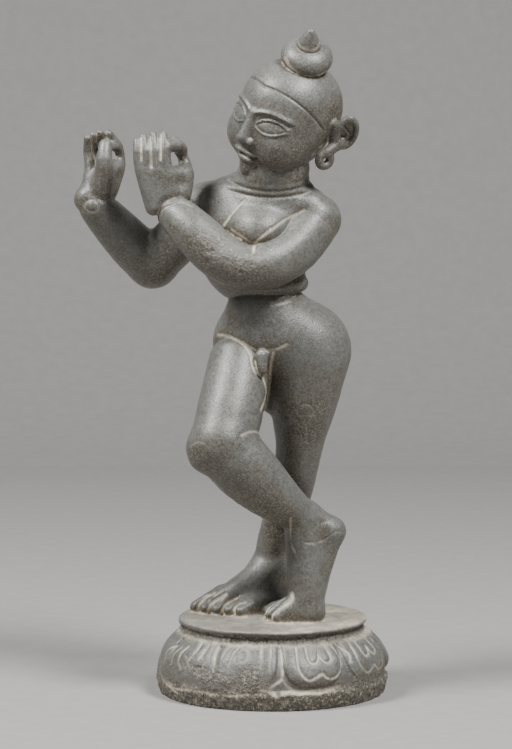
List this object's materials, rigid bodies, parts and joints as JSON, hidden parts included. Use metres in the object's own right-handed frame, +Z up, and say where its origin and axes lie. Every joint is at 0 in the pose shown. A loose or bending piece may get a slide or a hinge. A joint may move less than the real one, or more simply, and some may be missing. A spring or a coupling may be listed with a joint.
{
  "type": "standing stone figure on a lotus plinth",
  "caption": "Carved stone figure of a flute player standing cross-legged with both hands raised, on a round lotus-petal plinth.",
  "frame": {"origin": "centre of the round plinth's underside", "axes": "+Z up through the figure, -Y the way the chest faces, +X towards the figure's own left"},
  "size_m": [0.281, 0.2122, 0.6007],
  "materials": {
    "stone": "worn, fine-grained dark stone with pale dust in the carved lines"
  },
  "bodies": {
    "root": {"figure_on_lotus_plinth": "stone", "left_hand": "stone", "right_hand": "stone"}
  },
  "joints": []
}
